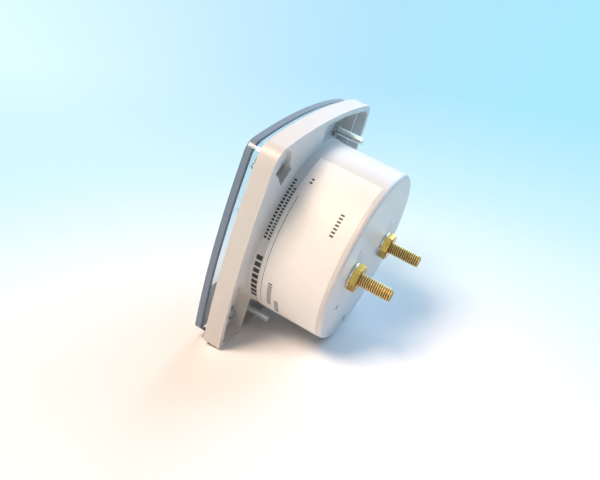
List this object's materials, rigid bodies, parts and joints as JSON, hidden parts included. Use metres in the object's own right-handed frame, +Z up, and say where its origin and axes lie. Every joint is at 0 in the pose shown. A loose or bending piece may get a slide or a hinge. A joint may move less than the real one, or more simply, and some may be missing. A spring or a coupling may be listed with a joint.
{
  "type": "analog panel meter",
  "caption": "Square-faced moving-coil panel meter with a clear front, a round barrel behind the flange, two brass terminal studs and two mounting studs.",
  "frame": {"origin": "on the barrel's axis, in the plane of the flange's back edge, which meets the panel", "axes": "-Y is the way the dial looks, +Y runs along the barrel to the terminals, +Z is up on the dial"},
  "size_m": [0.084, 0.057, 0.0819],
  "materials": {
    "white_abs": "satin moulded ABS",
    "clear_acrylic": "clear polished acrylic",
    "dial_white": "matt white enamel on aluminium",
    "mask_black": "matt black",
    "adjuster_black": "satin black",
    "stop_rubber": "matt",
    "pointer_black": "matt black paint",
    "brass": "bright turned brass",
    "zinc_steel": "zinc plated",
    "bare_steel": "ground steel",
    "aluminium": "satin",
    "copper_wire": "enamelled copper",
    "spring_bronze": "bright bronze strip",
    "manganin": "satin",
    "label_paper": "smooth coated paper"
  },
  "bodies": {
    "case": {"housing": "white_abs", "front_cover": "clear_acrylic", "dial_plate": "dial_white", "dial_screws": "zinc_steel", "pointer_stops": "stop_rubber", "lower_mask": "mask_black", "front_bridge": "brass", "rear_bridge": "brass", "front_pillars": "brass", "rear_pillars": "brass", "front_bridge_screws": "zinc_steel", "rear_bridge_screws": "zinc_steel", "front_jewel_screw": "brass", "rear_jewel_screw": "brass", "core_magnet": "bare_steel", "yoke_ring": "bare_steel", "core_spacers": "brass", "base_plate": "aluminium", "base_screws": "zinc_steel", "terminal_stud_left": "brass", "terminal_stud_right": "brass", "terminal_washers": "zinc_steel", "terminal_nuts": "brass", "shunt": "manganin", "lead_to_base": "copper_wire", "lead_to_bridge": "copper_wire", "mounting_studs": "zinc_steel", "stud_nuts": "zinc_steel", "rating_label": "label_paper"},
    "zero_adjuster_body": {"zero_adjuster": "adjuster_black"},
    "zero_lever_body": {"zero_lever": "aluminium"},
    "moving_coil": {"coil_former": "aluminium", "coil_winding": "copper_wire", "front_pivot": "bare_steel", "rear_pivot": "bare_steel", "pointer": "pointer_black", "balance_weights": "brass", "front_hairspring": "spring_bronze", "rear_hairspring": "spring_bronze"}
  },
  "joints": [
    {"name": "zero_adjuster_turn", "type": "hinge", "parent": "case", "child": "zero_adjuster_body", "pos_m": [0, -0.011, -0.0287], "axis": [0, 1, 0], "range_deg": [-25, 25]},
    {"name": "zero_lever_turn", "type": "hinge", "parent": "case", "child": "zero_lever_body", "pos_m": [0, -0.009, -0.013], "axis": [0, 1, 0], "range_deg": [-2.2, 2.2]},
    {"name": "pointer_turn", "type": "hinge", "parent": "zero_lever_body", "child": "moving_coil", "pos_m": [0, 0.004, -0.013], "axis": [0, 1, 0], "range_deg": [0, 90], "stiffness_Nm_per_rad": 0.00003, "deforming": ["front_hairspring", "rear_hairspring"]}
  ],
  "couplings": [
    {"joint": "zero_lever_turn", "follows": "zero_adjuster_turn", "ratio": -0.0815}
  ]
}
